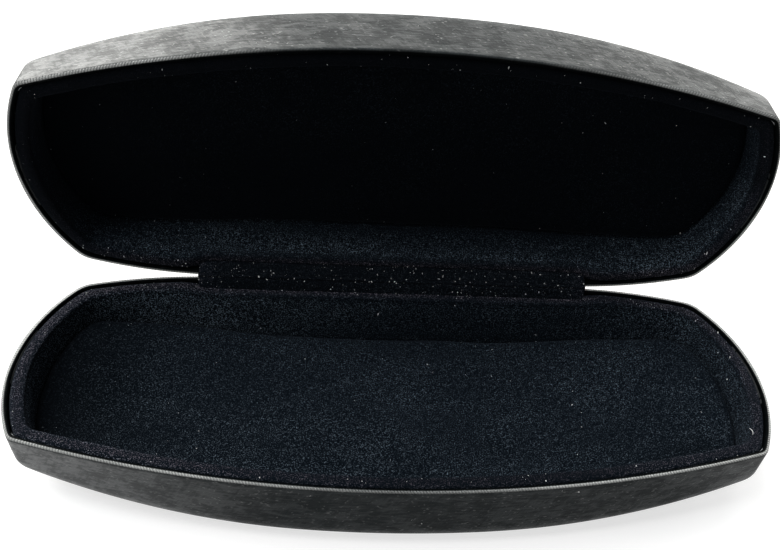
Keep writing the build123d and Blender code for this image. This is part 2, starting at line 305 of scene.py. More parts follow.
def spokes():
    """Starts on the middle line and directions, once round and anticlockwise seen from above. The left
    end and the front are the right end and the rear turned half round."""
    fan = np.radians(np.linspace(-90, 90, FAN_SPOKES))[1:-1]
    step = [HINGE_HALF + v for v in (-0.5, -0.25, 0.0, 0.25, 0.5)]
    even = np.linspace(-MIDDLE_HALF, MIDDLE_HALF, RUN_SPOKES)
    run = np.unique(np.concatenate([even, step, [-v for v in step]]))
    starts = np.r_[np.full_like(fan, MIDDLE_HALF), run[::-1]]
    starts = np.c_[starts, np.full_like(starts, MIDDLE_Y)]
    ways = np.r_[np.c_[np.cos(fan), np.sin(fan)], np.c_[np.zeros_like(run), np.ones_like(run)]]
    turn = -(len(fan) + len(run) // 2)
    starts = np.r_[starts, (0, 2 * MIDDLE_Y) - starts]
    return np.roll(starts, turn, axis=0), np.roll(np.r_[ways, -ways], turn, axis=0)


STARTS, WAYS = spokes()


def along_spokes(distance):
    """The point this far along every spoke, as x and y."""
    return (STARTS + WAYS * distance).T


# How much each spoke belongs to a wall, a side, or the stretch beside, in or round the hinge, from 0 to 1
STRAIGHT_BACK = WAYS[:, 1] > 0.999
AT_REAR = unit(WAYS[:, 1] * 2.5 + 0.5)
AT_FRONT = unit(0.5 - WAYS[:, 1] * 2.5)
AT_LEFT = unit((-STARTS[:, 0] - 24) / 30)
AT_RIGHT = 0.55 * unit((STARTS[:, 0] - 25) / 25)
BESIDE_HINGE = AT_REAR * bell(np.abs(along_spokes(20)[0]) - 57, 8)
IN_HINGE = unit((HINGE_HALF + 0.3 - np.abs(STARTS[:, 0])) / 0.5) * STRAIGHT_BACK
BY_HINGE = unit((HINGE_HALF + 5.0 - np.abs(STARTS[:, 0])) / 8.0) * STRAIGHT_BACK
BY_HINGE = BY_HINGE ** 2 * (3 - 2 * BY_HINGE)


def at_inset(inset):
    """The point on every spoke that lies this far inside the rim's outline."""
    inset = np.broadcast_to(inset, len(STARTS)).astype(float)
    low = np.zeros(len(STARTS))
    high = np.full(len(STARTS), LONGEST_SPOKE)
    for _ in range(HALVINGS):
        mid = (low + high) / 2
        p = STARTS + WAYS * mid[:, None]
        deeper = inset_at(p[:, 0], p[:, 1], inset) > inset
        low = np.where(deeper, mid, low)
        high = np.where(deeper, high, mid)
    return STARTS + WAYS * low[:, None]


def underside(x):
    """Height of the outer bottom: flat at the foot, curving up to both ends."""
    run = np.clip(np.abs(x) - FOOT_HALF, 0, None)
    return -SHELL_HEIGHT + ROCKER_RADIUS - np.sqrt(ROCKER_RADIUS ** 2 - run ** 2)


def ring(inset, z):
    """One closed row of points at this inset and height on every spoke."""
    xy = at_inset(inset)
    return np.c_[xy, np.broadcast_to(z, len(xy))]


def round_bottom(layer, angle):
    """A row on the rounded edge of this layer; the angle runs from the wall's to 90 at the bottom."""
    radius = EDGE_RADIUS - layer
    turn = math.radians(angle)
    x = at_inset(layer)[:, 0]
    for _ in range(4):
        z_centre = underside(x) + layer + radius
        inset = layer - z_centre * DRAFT + radius / DRAFT_COSINE - radius * math.cos(turn)
        xy = at_inset(inset)
        x = xy[:, 0]
    return np.c_[xy, z_centre - radius * math.sin(turn)]


def wall(layer, top, share):
    """A row on the drafted wall of this layer, this share of the way from its top to its rounded edge."""
    low = round_bottom(layer, DRAFT_DEGREES)[:, 2]
    z = top + (low - top) * share
    return ring(layer - z * DRAFT, z)


def floor_row(layer, beyond):
    """A row on the bottom of this layer, this far beyond the end of its rounded edge."""
    radius = EDGE_RADIUS - layer
    x = at_inset(EDGE_RADIUS)[:, 0]
    for _ in range(3):
        inset = layer - (underside(x) + layer + radius) * DRAFT + radius / DRAFT_COSINE + beyond
        xy = at_inset(inset)
        x = xy[:, 0]
    return np.c_[xy, underside(x) + layer]


def ripple(x, y, wavelength, seed, waves=7):
    """Smooth unevenness between about -1 and 1, made of a few crossing waves."""
    rng = np.random.default_rng(seed)
    total = np.zeros_like(x)
    for _ in range(waves):
        angle = rng.uniform(0, math.pi)
        length = wavelength * rng.uniform(0.6, 1.6)
        phase = rng.uniform(0, 2 * math.pi)
        total = total + np.sin(2 * math.pi * (x * math.cos(angle) + y * math.sin(angle)) / length + phase)
    return total / math.sqrt(waves)


def fill(row, spacing, height):
    """New points and faces that close a row with an even net; height gives z from x and y."""
    low, high = row[:, :2].min(0), row[:, :2].max(0)
    xs = np.arange(low[0], high[0], spacing)
    ys = np.arange(low[1], high[1], spacing)
    gx, gy = np.meshgrid(xs, ys)
    grid = np.c_[gx.ravel(), gy.ravel()]
    grid[:, 0] += (np.round((grid[:, 1] - low[1]) / spacing) % 2) * spacing / 2
    edge = np.median(inset_at(row[:, 0], row[:, 1], NET_LEVEL))
    grid = grid[inset_at(grid[:, 0], grid[:, 1], NET_LEVEL) > edge + NET_MARGIN]
    count = len(row)
    flat = [Vector(p) for p in np.concatenate([row[:, :2], grid])]
    outline = [(i, (i + 1) % count) for i in range(count)]
    verts, _, faces, source, _, _ = delaunay_2d_cdt(flat, outline, [], 1, 1e-7)
    places = np.array([(v.x, v.y) for v in verts])
    index, fresh = {}, []
    for i, origins in enumerate(source):
        known = [j for j in origins if j < count]
        if known:
            index[i] = known[0]
        else:
            index[i] = count + len(fresh)
            fresh.append(i)
    added = places[fresh]
    points = np.c_[added, height(added[:, 0], added[:, 1])]
    return points, [[index[i] for i in f] for f in faces]


def add_object(name, data):
    """A new object with this data, linked into the scene."""
    obj = bpy.data.objects.new(name, data)
    bpy.context.scene.collection.objects.link(obj)
    return obj


class Form:
    """Rows of points gathered into one mesh."""

    def __init__(self):
        self.points = np.zeros((0, 3))
        self.faces = []
        self.values = {}
        self.last = None

    def add_points(self, points, **values):
        """Adds points with these values, one for all or one for each, and gives the first's index."""
        start = len(self.points)
        self.points = np.concatenate([self.points, points])
        for key, value in values.items():
            full = self.values.setdefault(key, np.zeros(0))
            full = np.concatenate([full, np.zeros(start - len(full))])
            self.values[key] = np.concatenate([full, np.broadcast_to(value, len(points))])
        return start

    def join(self, first, second, count):
        """Faces between two closed rows of points."""
        for i in range(count):
            j = (i + 1) % count
            self.faces.append([first + i, first + j, second + j, second + i])

    def add_row(self, row, **values):
        """Adds a closed row of points and joins it to the one before."""
        start = self.add_points(row, **values)
        if self.last is not None:
            self.join(self.last, start, len(row))
        self.last = start

    def close_with(self, row, spacing, height, **makers):
        """Closes the last row with an even net, whose values come from these functions of its points."""
        points, faces = fill(row, spacing, height)
        first = self.add_points(points, **{key: maker(points) for key, maker in makers.items()})
        count = len(row)
        for face in faces:
            self.faces.append([self.last + i if i < count else first + i - count for i in face])

    def cap(self, count):
        """Faces over the first and the last row."""
        self.faces += [list(range(count)), list(range(self.last, self.last + count))]

    def finish(self, name, lid, look, merge=True):
        """The object of this form, in the base's place or, mirrored and opened, in the lid's."""
        mesh = bpy.data.meshes.new(name)
        mesh.from_pydata(place(self.points, lid).tolist(), [], self.faces)
        case = mesh.attributes.new("case", "FLOAT_VECTOR", "POINT")
        case.data.foreach_set("vector", (self.points * MM).astype(np.float32).ravel())
        for key, value in self.values.items():
            full = np.concatenate([value, np.zeros(len(self.points) - len(value))])
            mesh.attributes.new(key, "FLOAT", "POINT").data.foreach_set("value", full.astype(np.float32))
        net = bmesh.new()
        net.from_mesh(mesh)
        if merge:
            bmesh.ops.remove_doubles(net, verts=net.verts, dist=MERGE * MM)
            bmesh.ops.dissolve_degenerate(net, edges=net.edges, dist=MERGE * MM)
        bmesh.ops.recalc_face_normals(net, faces=net.faces)
        net.to_mesh(mesh)
        net.free()
        mesh.shade_smooth()
        obj = add_object(name, mesh)
        give(obj, look)
        return obj


def opened(point):
    """The point on the open lid that matches this point (y, z) of the base."""
    y, z = point[0], -point[1]
    return (y * math.cos(OPEN) + z * math.sin(OPEN), -y * math.sin(OPEN) + z * math.cos(OPEN))


def place(points, lid):
    """Points of the closed base in the open scene, in metres; the lid's are mirrored and swung open."""
    p = np.array(points, float)
    if lid:
        p[:, 1:] = np.transpose(opened(p[:, 1:].T))
    return p * MM + HINGE


def add_node(tree, kind, inputs=None, **settings):
    """A shader or geometry node with these settings; inputs are values or the sockets to link."""
    new = tree.nodes.new(kind)
    for key, value in settings.items():
        setattr(new, key, value)
    for key, value in (inputs or {}).items():
        if isinstance(value, bpy.types.NodeSocket):
            tree.links.new(value, new.inputs[key])
        else:
            new.inputs[key].default_value = value
    return new


def new_material(name):
    """A node material without nodes, and its tree."""
    new = bpy.data.materials.new(name)
    new.use_nodes = True
    new.node_tree.nodes.clear()
    return new, new.node_tree


def surface(tree, shader):
    """Makes this shader node the material's surface."""
    output = tree.nodes.new("ShaderNodeOutputMaterial")
    tree.links.new(shader.outputs[0], output.inputs["Surface"])


def attribute(tree, name, output="Fac"):
    """A value that the mesh carries."""
    return add_node(tree, "ShaderNodeAttribute", attribute_name=name).outputs[output]


def stretched_noise(tree, source, scale, detail=2.0, rough=0.55):
    """Noise whose grains are stretched by a different scale along each axis."""
    moved = add_node(tree, "ShaderNodeVectorMath", {0: source, 1: scale}, operation="MULTIPLY")
    noise = add_node(tree, "ShaderNodeTexNoise", {
        "Vector": moved.outputs[0], "Scale": 1.0, "Detail": detail, "Roughness": rough})
    return noise.outputs["Fac"]


def math_node(tree, operation, a, b=0.0):
    """The result of a sum on values or sockets."""
    return add_node(tree, "ShaderNodeMath", {0: a, 1: b}, operation=operation).outputs[0]


def plus(tree, first, *others):
    """Values or sockets added up."""
    for other in others:
        first = math_node(tree, "ADD", first, other)
    return first


def times(tree, first, *others):
    """Values or sockets multiplied."""
    for other in others:
        first = math_node(tree, "MULTIPLY", first, other)
    return first


def ramp(tree, value, low, high, out_low=0.0, out_high=1.0):
    """A value mapped smoothly from one range to another."""
    mapped = add_node(tree, "ShaderNodeMapRange", {"Value": value, "From Min": low, "From Max": high,
                      "To Min": out_low, "To Max": out_high}, interpolation_type="SMOOTHSTEP")
    return mapped.outputs["Result"]


def ramp_linear(tree, value, out_low, out_high):
    """A value from 0 to 1 mapped evenly to another range."""
    mapped = add_node(tree, "ShaderNodeMapRange", {"Value": value, "To Min": out_low, "To Max": out_high})
    return mapped.outputs["Result"]


def mix_value(tree, share, a, b):
    """A number between a and b."""
    return add_node(tree, "ShaderNodeMix", {"Factor": share, 2: a, 3: b}).outputs[0]


def mix_colour(tree, share, a, b):
    """A colour between a and b."""
    return add_node(tree, "ShaderNodeMix", {"Factor": share, 6: a, 7: b}, data_type="RGBA").outputs[2]


def shaded(colour, share):
    """A colour made darker or paler."""
    return tuple(v * share for v in colour[:3]) + (1,)


def leather_material():
    """Black coated leather with a faint fine grain and small flecks, ribbed and glossier over the rim, with
    wear and a painted highlight along the rim and painted shade inside it.
    """
    leather, tree = new_material("leather")
    props = sizes()
    case = attribute(tree, "case", "Vector")
    edge, inner, run, across, polished = (
        attribute(tree, name) for name in ("edge", "inner", "run", "across", "polished"))
    place_x = add_node(tree, "ShaderNodeSeparateXYZ", {0: case}).outputs["X"]
    normal = add_node(tree, "ShaderNodeNewGeometry").outputs["Normal"]
    facing_x = add_node(tree, "ShaderNodeSeparateXYZ", {0: normal}).outputs["X"]
    on_end = ramp(tree, math_node(tree, "ABSOLUTE", facing_x), 0.55, 0.85)

    # Grain: streaks along the case or, on its ends, across it, with slanted marks, smudges and flecks
    along = stretched_noise(tree, case, (330, 1500, 1500), 3.0)
    over_end = stretched_noise(tree, case, (1500, 330, 1500), 3.0)
    streaks = mix_value(tree, on_end, along, over_end)
    turned = add_node(tree, "ShaderNodeVectorRotate", {"Vector": case, "Angle": math.radians(62)},
                      rotation_type="Y_AXIS").outputs[0]
    slants = stretched_noise(tree, turned, (350, 1000, 1900))
    grain = stretched_noise(tree, case, (2800, 2800, 2800))
    smudge = stretched_noise(tree, case, (160, 330, 330), 3.0)
    cloud = stretched_noise(tree, case, (60, 60, 60))
    flecks = ramp(tree, stretched_noise(tree, case, (1000, 1500, 1500), 1.0), 0.64, 0.74)
    tone = plus(tree, times(tree, streaks, 0.38), times(tree, slants, 0.2), times(tree, smudge, 0.42))
    tone = ramp(tree, tone, 0.4, 0.6)

    # Ribs over the rim, by the distance along it and over it
    turn = plus(tree, times(tree, run, 2 * math.pi / RIB_PITCH), times(tree, across, RIB_SLANT))
    wave = math_node(tree, "SINE", turn)
    height = plus(tree, streaks, times(tree, slants, 0.5), times(tree, grain, 0.6),
                  times(tree, flecks, 0.5), times(tree, wave, edge, 1.7))
    bump = add_node(tree, "ShaderNodeBump", {"Height": height, "Strength": 0.6, "Distance": 0.00009})

    # Colour: paler where worn and where a highlight is painted on the rim, less in the middle of the rim
    # where the painted highlight fades, and black inside as painted shade
    dark, wear_and_highlight_colour = tuple(props.leather), tuple(props.rim_wear_and_highlight)
    colour = mix_colour(tree, tone, dark, shaded(dark, 1.6))
    colour = mix_colour(tree, times(tree, flecks, 0.06), colour, wear_and_highlight_colour)
    middle = ramp(tree, math_node(tree, "ABSOLUTE", place_x), 0.006, 0.036, 0.3, 1.0)
    wear_and_highlight = times(tree, edge, middle, ramp(tree, cloud, 0.3, 0.6, 0.6, 1.0),
                 ramp(tree, wave, -1.0, 1.0, 0.5, 1.0))
    colour = mix_colour(tree, wear_and_highlight, colour, wear_and_highlight_colour)
    colour = mix_colour(tree, times(tree, inner, 0.8), colour, (0, 0, 0, 1))

    # Gloss: the front walls are polished by handling towards their ends, most at the left
    rough = plus(tree, ramp(tree, cloud, 0.3, 0.7, 0.38, 0.46), ramp(tree, tone, 0.0, 1.0, 0.06, 0.0))
    rough = mix_value(tree, edge, rough, 0.3)
    handled = plus(tree, ramp(tree, place_x, -0.078, -0.02, 9.5, 1.0),
                   ramp(tree, place_x, 0.05, 0.078, 0.0, 1.6))
    polish = mix_value(tree, polished, 1.0, handled)
    gloss = times(tree, ramp(tree, tone, 0.0, 1.0, 0.045, 0.085), polish)
    gloss = mix_value(tree, edge, plus(tree, gloss, times(tree, flecks, 0.1)), 0.5)
    gloss = times(tree, gloss, math_node(tree, "SUBTRACT", 1.0, times(tree, inner, 0.9)))
    surface(tree, add_node(tree, "ShaderNodeBsdfPrincipled", {
        "Base Color": colour, "Roughness": rough, "Specular IOR Level": gloss, "Normal": bump.outputs[0]}))
    return leather


def flock_material():
    """Black flocked cloth: short fibres whose tips catch the light as fine specks, most along the lips."""
    flock, tree = new_material("flocked_cloth")
    props = sizes()
    case = attribute(tree, "case", "Vector")
    nap, warm = attribute(tree, "nap"), attribute(tree, "warm")
    fibres = stretched_noise(tree, case, (3900, 3900, 3900), 1.5, 0.6)
    tufts = stretched_noise(tree, case, (1000, 1000, 1000))
    lay = stretched_noise(tree, case, (45, 70, 70))
    # Painted light and shade: nap scales the lit fibre tips and darkens the ground colour
    tips = times(tree, ramp(tree, fibres, 0.5, 0.8), ramp(tree, tufts, 0.3, 0.7, 0.3, 1.0),
                 ramp(tree, lay, 0.3, 0.7, 0.65, 1.2), nap)
    ground = mix_colour(tree, ramp(tree, nap, 0.0, 1.0, 0.35, 1.0), (0, 0, 0, 1), tuple(props.flock))
    tip = mix_colour(tree, warm, tuple(props.flock_tip), tuple(props.lip_tip))
    height = plus(tree, fibres, times(tree, tufts, 0.8))
    bump = add_node(tree, "ShaderNodeBump", {"Height": height, "Strength": 0.9, "Distance": 0.00022})
    surface(tree, add_node(tree, "ShaderNodeBsdfPrincipled", {
        "Base Color": mix_colour(tree, tips, ground, tip), "Roughness": 0.95, "Specular IOR Level": 0.03,
        "Sheen Weight": 0.01, "Sheen Roughness": 0.4, "Sheen Tint": (0.55, 0.65, 0.9, 1),
        "Normal": bump.outputs[0]}))
    return flock


def steel_material(name, colour, roughness, brush):
    """Steel with fine brush marks along the hinge and slight mottling."""
    steel, tree = new_material(name)
    where = add_node(tree, "ShaderNodeTexCoord").outputs["Object"]
    marks = stretched_noise(tree, where, brush, 3.0)
    mottle = stretched_noise(tree, where, (90, 90, 90))
    tint = mix_colour(tree, ramp(tree, mottle, 0.3, 0.7), colour, shaded(colour, 0.8))
    rough = plus(tree, roughness, ramp(tree, marks, 0.3, 0.7, 0.0, 0.15))
    bump = add_node(tree, "ShaderNodeBump", {"Height": marks, "Strength": 0.3, "Distance": 0.00003})
    surface(tree, add_node(tree, "ShaderNodeBsdfPrincipled", {
        "Base Color": tint, "Metallic": 1.0, "Roughness": rough, "Normal": bump.outputs[0]}))
    return steel


def lint_material():
    """Pale dust and lint, each fleck a little different."""
    lint, tree = new_material("lint")
    where = add_node(tree, "ShaderNodeTexCoord").outputs["Object"]
    vary = stretched_noise(tree, where, (700, 700, 700), 1.0)
    pale = tuple(sizes().lint)
    colour = mix_colour(tree, ramp(tree, vary, 0.35, 0.65), shaded(pale, 0.35), pale)
    surface(tree, add_node(tree, "ShaderNodeBsdfPrincipled", {
        "Base Color": colour, "Roughness": 0.9, "Specular IOR Level": 0.2}))
    return lint


def material(name):
    """The scene's material of this name, made the first time it is asked for."""
    found = bpy.data.materials.get(name)
    if found:
        return found
    makers = {
        "leather": leather_material,
        "flocked_cloth": flock_material,
        "lint": lint_material,
        "bright_steel": lambda: steel_material("bright_steel", BRIGHT_STEEL, 0.28, (60, 2500, 2500)),
        "stamped_steel": lambda: steel_material("stamped_steel", STAMPED_STEEL, 0.5, (400, 400, 400)),
    }
    return makers[name]()


def give(obj, name):
    """Sets an object's only material."""
    obj.data.materials.clear()
    obj.data.materials.append(material(name))


def hinge_blend(normal_value, hinge_value):
    """A value along a row that changes where the hinge lies behind the rear wall."""
    return normal_value + (hinge_value - normal_value) * IN_HINGE


def skin(name, lid):
    """The leather skin of one shell: the outside, rolled over the rim and turned in, and its inner face."""
    form = Form()
    shoulder = -RIM_GAP - RIM_CORNER
    shell_top = -RIM_GAP - SHELL_DROP
    slot_inset, shell_inset = SHELL_SPACE
    outline = at_inset(0.0)
    steps = np.hypot(*(outline - np.roll(outline, 1, axis=0)).T)
    steps[0] = 0
    run = np.cumsum(steps)
    polish_kept = 0.42 if lid else 1.0

    def row(points, edge=0.0, across=0.0, lint=0.0, inner=0.0, polished=0.0):
        form.add_row(points, edge=edge, run=run, across=across, lint=lint, inner=inner,
                     polished=polished * AT_FRONT * polish_kept)

    # Rows turned in under the rim are painted in shade
    def turned_in(inset, z):
        place_at = hinge_blend(inset - z * DRAFT, slot_inset)
        row(ring(place_at, hinge_blend(z, -SLOT_DROP)), inner=1.0)

    def rim_corner(middle, side, angles):
        turns = [(RIM_CORNER * math.cos(a), RIM_CORNER * math.sin(a)) for a in np.radians(angles)]
        return [(middle + side * inward, shoulder + up) for inward, up in turns]

    # Outside, from the middle of the bottom to the rim; the front wall is polished from its rounded edge up
    bottom = floor_row(0.0, NET_BEYOND)
    row(bottom)
    form.close_with(bottom, NET_OUTSIDE, lambda x, y: underside(x))
    row(floor_row(0.0, 0.8))
    for angle in np.linspace(90, DRAFT_DEGREES, ROWS["outer round"]):
        row(round_bottom(0.0, angle), polished=unit((75 - angle) / 35))
    for share in np.linspace(1, 0, ROWS["outer wall"])[1:-1]:
        row(wall(0.0, hinge_blend(shoulder, -SLOT_DROP), share), lint=0.05, polished=1.0)

    # Rim: wear and a painted highlight along its outer side, painted shade along its inner side, and little
    # painted highlight at the lid's front
    rim = rim_corner(RIM_CORNER, -1, np.linspace(0, 90, ROWS["rim corner"]))
    rim += [(inset, -RIM_GAP) for inset in RIM_FLAT]
    rim += rim_corner(HEM_INSIDE - RIM_CORNER, 1, np.linspace(90, 0, ROWS["rim corner"]))
    wider = WIDER_AT_REAR * AT_REAR
    highlight_shown = np.maximum.reduce([AT_REAR, AT_LEFT, AT_RIGHT]) if lid else 1.0
    across = 0.0
    for i, (inset, z) in enumerate(rim):
        across += math.dist(rim[i - 1], rim[i]) if i else 0.0
        wear_and_highlight = unit(1.6 * (z - shoulder) / RIM_CORNER) * unit((WEAR_AND_HIGHLIGHT_TO + wider - inset) / 0.2)
        wear_and_highlight = wear_and_highlight * (0.08 + 0.92 * highlight_shown) * (1 - 0.6 * AT_REAR * unit((0.35 - inset) / 0.2))
        dark = unit((inset - PAINTED_SHADE_FROM - 0.3 * highlight_shown - wider) / 0.25)
        place_at = hinge_blend(inset - z * DRAFT, slot_inset * i / (len(rim) - 1))
        row(ring(place_at, hinge_blend(z, -SLOT_DROP)), wear_and_highlight, across, 0.0, dark)

    # Hem: down inside the lining, back up against the shell, and the inner face down to the bottom
    for z in (*HEM_ROWS, -HEM_DROP):
        turned_in(HEM_INSIDE, z)
    for z in (-HEM_DROP, -2.5, shell_top):
        turned_in(shell_inset, z)
    turned_in(slot_inset, shell_top)
    for share in np.linspace(0, 1, ROWS["inner wall"])[1:]:
        row(wall(slot_inset, hinge_blend(shell_top, -SLOT_DROP), share))
    for angle in np.linspace(DRAFT_DEGREES, 90, ROWS["inner round"])[1:]:
        row(round_bottom(slot_inset, angle))
    bottom = floor_row(slot_inset, NET_BEYOND)
    row(bottom)
    form.close_with(bottom, NET_HIDDEN, lambda x, y: underside(x) + slot_inset)
    return form.finish(name, lid, "leather")


def lining(name, lid, seed, lit_left):
    """The flocked strip round the wall, with its rounded lip, thinner where the hinge lies behind it."""
    form = Form()
    outside, inside = LINING
    wave = sizes().unevenness / MM
    uneven = ripple(*along_spokes(30), wavelength=26.0, seed=seed)
    fine = ripple(*along_spokes(30), wavelength=6.0, seed=seed + 1)
    give_way = wave * (0.7 * uneven + 0.3 * fine)
    lip_base = -LINING_DROP - LIP_HEIGHT - HINGE_DIP[lid] * BY_HINGE

    # Painted light and shade: both ends are painted lighter, and in the lid all but the rear and the right
    # end is painted in shade
    x = along_spokes(25)[0]
    right_lit = 1.5 * bell(x - 66, 18)
    lit = lit_left * bell(x + 55, 30) + right_lit
    shade = 1.0
    if lid:
        rear_open = 0.88 * AT_REAR * unit((x + 75) / 40)
        right_open = 0.5 * unit((x - 66) / 12)
        shade = np.minimum(0.12 + rear_open + right_open, 1.0)
    lip_nap, lip_highlight = (0.12, 0.5) if lid else (0.6, 0.0)
    beside_nap = 1.6 if lid else 0.3
    wall_nap, wall_top_light = (0.65, 1.4) if lid else (0.75, 0.6)

    def back(inset, z):
        deep = POCKET - z * DRAFT
        return hinge_blend(inset, np.where(z > -POCKET_DROP, np.maximum(inset, deep), inset))

    # Lip, over the top from its inner side to its back
    middle, half = (outside + inside) / 2, (inside - outside) / 2
    for angle in np.linspace(0, 180, ROWS["lip"]):
        turn = math.radians(angle)
        crest = math.sin(turn) ** 2
        z = lip_base + (LIP_HEIGHT + 0.25 * give_way) * max(0.0, math.sin(turn)) ** 0.45
        inward = (1 + math.cos(turn)) / 2 * (0.5 * give_way + HINGE_STEP * BY_HINGE)
        inset = middle + half * math.cos(turn) - lip_base * DRAFT + inward
        # A thin painted highlight along the lip's crest, on the lid's lip and beside the hinge, where lint
        # also gathers
        crest_highlight = crest ** 16
        nap = (lip_nap + lip_highlight * crest_highlight) * (1 - AT_REAR)
        nap = nap + (0.7 + 0.5 * crest + BESIDE_HINGE * beside_nap) * AT_REAR
        nap = shade * (nap + 0.25 * lit) + 1.8 * (crest_highlight * BY_HINGE)
        lint = (0.1 + 0.6 * crest) * (1 + 3 * BESIDE_HINGE) + 1.6 * (crest_highlight * BY_HINGE)
        form.add_row(ring(back(inset, z), z), lint=lint, nap=nap, warm=crest ** 0.5)

    # Back, down to the foot, and the face back up to the lip, swelling a little on its way
    hidden = {"lint": 0.0, "nap": 0.5, "warm": 0.0}
    low = round_bottom(outside, DRAFT_DEGREES)[:, 2]
    for share in np.linspace(0, 1, ROWS["lining back"])[1:]:
        z = lip_base + (low - lip_base) * share
        form.add_row(ring(back(outside - z * DRAFT, z), z), **hidden)
    lowest = math.degrees(math.acos((EDGE_RADIUS - inside) / (EDGE_RADIUS - outside)))
    for angle in np.linspace(DRAFT_DEGREES, lowest, ROWS["lining foot"])[1:]:
        foot = round_bottom(outside, angle)
        form.add_row(foot, **hidden)
    for share in np.linspace(1, 0, ROWS["lining face"])[:-1]:
        z = lip_base + (foot[:, 2] - lip_base) * share
        swell = 0.25 * math.sin(math.pi * min(1.0, (1 - share) * 1.3))
        inset = inside - z * DRAFT + (give_way + HINGE_STEP * BY_HINGE) * (1 - share) - swell * 0.3
        # The face is painted lighter towards the lip and where the ends are painted lit
        nap = wall_nap + wall_top_light * (1 - share) ** 2 + 0.7 * lit
        form.add_row(ring(inset, z), lint=0.08, nap=nap * shade, warm=0.0)
    form.join(form.last, 0, len(STARTS))
    return form.finish(name, lid, "flocked_cloth")


def pad_surface(seed, dips, rise):
    """The height of a pad's top from x and y: it follows the bottom, slightly uneven and with a few dips,
    and rises at the rear, by this much at its left, middle and right."""
    wave = sizes().unevenness / MM
    left, middle, right = rise

    def height(x, y):
        z = underside(x) + PAD_TOP
        z = z + 0.35 * wave * ripple(x, y, 34.0, seed) + 0.15 * wave * ripple(x, y, 11.0, seed + 1)
        for dip_x, dip_y, reach, depth in dips:
            z = z - depth * np.exp(-((x - dip_x) ** 2 + (y - dip_y) ** 2) / reach ** 2)
        along = x / RISE_HALF
        lift = middle + (right - left) / 2 * along + ((left + right) / 2 - middle) * along ** 2
        near = unit((y - RISE_FRONT) / (RISE_REAR - RISE_FRONT))
        return z + np.maximum(lift, 0) * near ** 2 * (3 - 2 * near)

    return height


def pad(name, lid, seed, dips, rise, nap):
    """The padded floor: a flocked board with a rolled edge; nap scales the painted light on it."""
    form = Form()
    height = pad_surface(seed, dips, rise)
    x = at_inset(PAD_INSET)[:, 0]
    side = PAD_INSET - (underside(x) + (PAD_TOP + PAD_UNDER) / 2) * DRAFT
    side = side + 0.12 * ripple(*along_spokes(30), 18.0, seed + 2)

    def lit(points):
        """The painted light of these points, with painted shade at the left end and in the right front
        corner.
        """
        x, y = points[:, 0], points[:, 1]
        left_end = 0.85 * bell(np.clip(x + 78, 0, None), 25)
        right_front = 0.5 * np.exp(-((x - 66) / 12) ** 2 - ((y + 48) / 13) ** 2)
        return nap * (1 - (left_end + right_front))

    def roll_row(angle, top):
        turn = math.radians(angle)
        xy = at_inset(side + PAD_ROLL - PAD_ROLL * math.cos(turn))
        if top:
            z = height(xy[:, 0], xy[:, 1]) - PAD_ROLL + PAD_ROLL * math.sin(turn)
        else:
            z = underside(xy[:, 0]) + PAD_UNDER + PAD_ROLL - PAD_ROLL * math.sin(turn)
        return np.c_[xy, z]

    xy = at_inset(side + PAD_ROLL + 1.5)
    board = np.c_[xy, underside(xy[:, 0]) + PAD_UNDER]
    form.add_row(board, lint=0.0, nap=lit(board))
    form.close_with(board, NET_HIDDEN, lambda x, y: underside(x) + PAD_UNDER)
    # The roll is painted darker underneath and lighter towards its top, as painted shade
    for angle in np.linspace(90, 0, ROWS["under roll"]):
        roll = roll_row(angle, False)
        form.add_row(roll, lint=0.0, nap=0.6 * lit(roll))
    for angle in np.linspace(0, 90, ROWS["top roll"]):
        roll = roll_row(angle, True)
        form.add_row(roll, lint=0.1, nap=(0.6 + 0.4 * math.sin(math.radians(angle))) * lit(roll))
    for beyond in (1.0, 2.4):
        xy = at_inset(side + PAD_ROLL + beyond)
        top = np.c_[xy, height(xy[:, 0], xy[:, 1])]
        form.add_row(top, lint=0.08, nap=lit(top))
    form.close_with(top, NET_PAD, height, lint=lambda points: 0.05, nap=lit)
    return form.finish(name, lid, "flocked_cloth")


def strip(name, path, thickness, half_length, wave, seed, look, bulge, at_ends=None, **values):
    """A strip along the hinge whose section follows a path of (y, z), with rounded edges. Its middle is
    longer by the bulge, a share of its length, and near its ends its values turn into those given."""
    path = np.array(path, float)
    tangent = np.gradient(path, axis=0)
    tangent /= np.linalg.norm(tangent, axis=1)[:, None]
    outward = np.c_[-tangent[:, 1], tangent[:, 0]]
    count = len(path)
    longer = 1 + bulge * bell(np.linspace(-1, 1, count), 0.35)
    at_ends = {**values, **(at_ends or {})}
    form = Form()
    for x in np.linspace(-half_length, half_length, STRIP_SECTIONS):
        rounded = math.sqrt(max(0.0, 1 - (abs(x) / half_length) ** 24)) * 0.96 + 0.04
        spread = wave * ripple(np.full(count, x), np.arange(count) * 0.6, wavelength=7.0, seed=seed)
        top = path + outward * (thickness / 2 * rounded + spread)[:, None]
        low = path - outward * (thickness / 2 * rounded - 0.3 * spread)[:, None]
        reach = x * longer
        near_end = unit((abs(x) - half_length) / STRIP_END + 1.0) ** 2
        form.add_row(np.c_[np.concatenate([reach, reach[::-1]]), np.concatenate([top, low[::-1]])],
                     **{key: value + (at_ends[key] - value) * near_end for key, value in values.items()})
    form.cap(2 * count)
    return form.finish(name, False, look, merge=False)


def polar(radius, angle):
    """A point (y, z) about the hinge line."""
    return (radius * math.cos(math.radians(angle)), radius * math.sin(math.radians(angle)))


def hinge_point(point):
    """A point (y, z) of the hinge's section as a place in the scene."""
    return tuple(HINGE + np.array([0.0, *point]) * MM)


def line(start, end, count):
    """Evenly spaced points (y, z) from one point to another."""
    return [tuple(p) for p in np.linspace(start, end, count)]


def path_length(path):
    """The length of a path of points."""
    return sum(math.dist(a, b) for a, b in zip(path, path[1:]))


